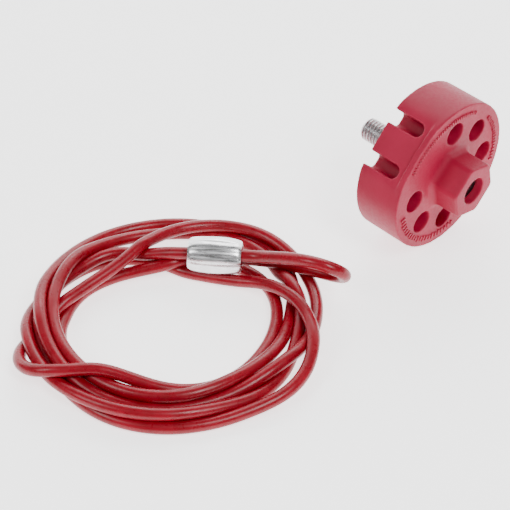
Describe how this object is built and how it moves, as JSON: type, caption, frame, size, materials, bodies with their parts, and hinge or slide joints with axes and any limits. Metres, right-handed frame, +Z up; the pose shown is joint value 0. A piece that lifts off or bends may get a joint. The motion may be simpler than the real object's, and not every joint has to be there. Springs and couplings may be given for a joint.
{
  "type": "lockout hasp",
  "caption": "Round red lockout hasp with padlock holes, a hexagonal nose and a threaded stud, and its coiled red cable with a crimped eye.",
  "frame": {"origin": "on the floor under the middle of the hasp, which stands on its rim; the cable is left out of the middle", "axes": "+Z up; the stud's axis lies along Y, with the nose towards -Y and the threaded end towards +Y"},
  "size_m": [0.2005, 0.1122, 0.064],
  "materials": {
    "red_nylon": "satin moulded red nylon",
    "black_nylon": "matt moulded black nylon",
    "zinc_plated_steel": "bright zinc plating on cut thread",
    "aluminium": "bright crimped aluminium with flats from the press",
    "red_sheath": "glossy clear-red PVC sheath over wire rope"
  },
  "bodies": {
    "housing": {"body": "red_nylon", "threaded_stud": "zinc_plated_steel", "stud_retainer": "black_nylon"},
    "washer": {"clamp_washer": "zinc_plated_steel"},
    "nut": {"clamp_nut": "zinc_plated_steel"},
    "cable": {"cable_coil": "red_sheath", "cable_eye": "red_sheath", "ferrule": "aluminium"}
  },
  "joints": [
    {"name": "washer_travel", "type": "slide", "parent": "housing", "child": "washer", "axis": [0, 1, 0], "range_m": [0, 0.016]},
    {"name": "nut_turn", "type": "hinge", "parent": "washer", "child": "nut", "pos_m": [0, 0.006, 0.032], "axis": [0, 1, 0], "range_deg": [0, 3840]},
    {"name": "cable_lift", "type": "slide", "parent": "housing", "child": "cable", "axis": [0, 0, 1], "range_m": [0, 0.12]}
  ],
  "couplings": [
    {"joint": "washer_travel", "follows": "nut_turn", "m_per_rad": 0.00023873}
  ]
}
